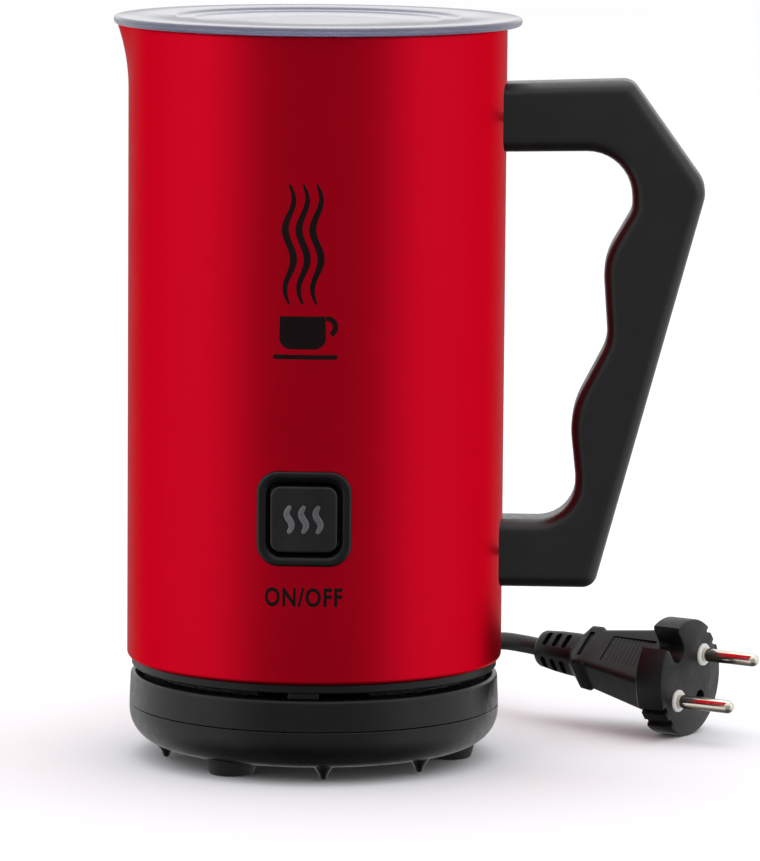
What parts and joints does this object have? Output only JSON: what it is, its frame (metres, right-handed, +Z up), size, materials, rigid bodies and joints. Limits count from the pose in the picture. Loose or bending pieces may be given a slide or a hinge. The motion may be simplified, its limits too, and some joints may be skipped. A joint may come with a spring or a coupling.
{
  "type": "milk frothing pitcher",
  "caption": "Electric milk frothing jug with a moulded handle, pouring spout, clear lid, magnetic whisk and push button, standing on a cordless power base with its cord and plug.",
  "frame": {"origin": "on the jug's axis at worktop level, under the power base", "axes": "+Z up along the jug's axis, +X towards the handle, -Y towards the push button, so the spout is at -X"},
  "size_m": [0.1908, 0.1917, 0.2173],
  "materials": {
    "base_plastic": "fine satin moulding",
    "dark_plastic": "satin",
    "contact_brass": "polished",
    "foot_rubber": "matte",
    "screw_steel": "zinc plated",
    "wire_insulation": "soft gloss",
    "cord_rubber": "soft satin",
    "plug_plastic": "satin moulded",
    "pin_nickel": "polished",
    "white_plastic": "satin",
    "red_paint": "metallic lacquer",
    "non_stick": "satin non-stick coating",
    "heater_aluminium": "cast",
    "circuit_board": "solder mask",
    "gloss_surround": "high gloss",
    "handle_plastic": "fine satin texture",
    "carrier_plastic": "matte",
    "magnet": "nickel plated",
    "whisk_steel": "polished wire",
    "smoky_clear": "clear, lightly smoked",
    "seal_silicone": "translucent silicone",
    "key_plastic": "satin",
    "icon_clear": "translucent"
  },
  "bodies": {
    "base": {"base_top_cover": "base_plastic", "base_bottom_cover": "base_plastic", "base_connector": "dark_plastic", "base_contacts": "contact_brass", "rubber_feet": "foot_rubber", "base_screws": "screw_steel", "cord_clamp": "dark_plastic", "clamp_screws": "screw_steel", "base_leads": "wire_insulation", "strain_relief": "cord_rubber", "cord_tail": "cord_rubber", "cord_lead_near": "cord_rubber", "cord_coil": "cord_rubber", "cord_tie": "cord_rubber", "cord_lead_far": "cord_rubber", "plug_body": "plug_plastic", "plug_pins": "pin_nickel", "pin_collars": "white_plastic"},
    "jug": {"outer_shell": "red_paint", "inner_pot": "non_stick", "pot_spindle": "screw_steel", "pot_studs": "screw_steel", "bracket_nuts": "screw_steel", "heater_ring": "heater_aluminium", "thermostat": "heater_aluminium", "thermal_fuse": "white_plastic", "temperature_sensor": "heater_aluminium", "motor_bracket": "screw_steel", "motor_can": "screw_steel", "motor_end_cap": "white_plastic", "motor_screws": "screw_steel", "jug_collar": "dark_plastic", "jug_bottom_cover": "dark_plastic", "jug_screws": "screw_steel", "jug_connector": "dark_plastic", "jug_contacts": "contact_brass", "control_board": "circuit_board", "board_components": "circuit_board", "board_screws": "screw_steel", "wire_harness": "wire_insulation", "button_bezel": "gloss_surround", "button_board": "circuit_board", "tact_switch": "dark_plastic", "button_lamps": "white_plastic", "handle": "handle_plastic", "handle_screws": "screw_steel", "handle_plates": "screw_steel"},
    "drive": {"motor_shaft": "screw_steel", "magnet_carrier": "carrier_plastic", "drive_magnets": "magnet"},
    "whisk": {"whisk_cap": "dark_plastic", "whisk_hub": "dark_plastic", "whisk_magnets": "magnet", "whisk_coil": "whisk_steel"},
    "lid": {"lid_cover": "smoky_clear", "lid_seal": "seal_silicone"},
    "button": {"button_key": "key_plastic", "steam_icon": "icon_clear", "key_plunger": "dark_plastic"}
  },
  "joints": [
    {"name": "jug_lift", "type": "slide", "parent": "base", "child": "jug", "axis": [0, 0, 1], "range_m": [0, 0.08]},
    {"name": "drive_spin", "type": "hinge", "parent": "jug", "child": "drive", "pos_m": [0, 0, 0.1], "axis": [0, 0, 1], "continuous": true},
    {"name": "whisk_lift", "type": "slide", "parent": "drive", "child": "whisk", "axis": [0, 0, 1], "range_m": [0, 0.06]},
    {"name": "lid_lift", "type": "slide", "parent": "jug", "child": "lid", "axis": [0, 0, 1], "range_m": [0, 0.06]},
    {"name": "button_press", "type": "slide", "parent": "jug", "child": "button", "axis": [0, 1, 0], "range_m": [0, 0.001], "stiffness_N_per_m": 900, "springref_m": -0.001}
  ]
}
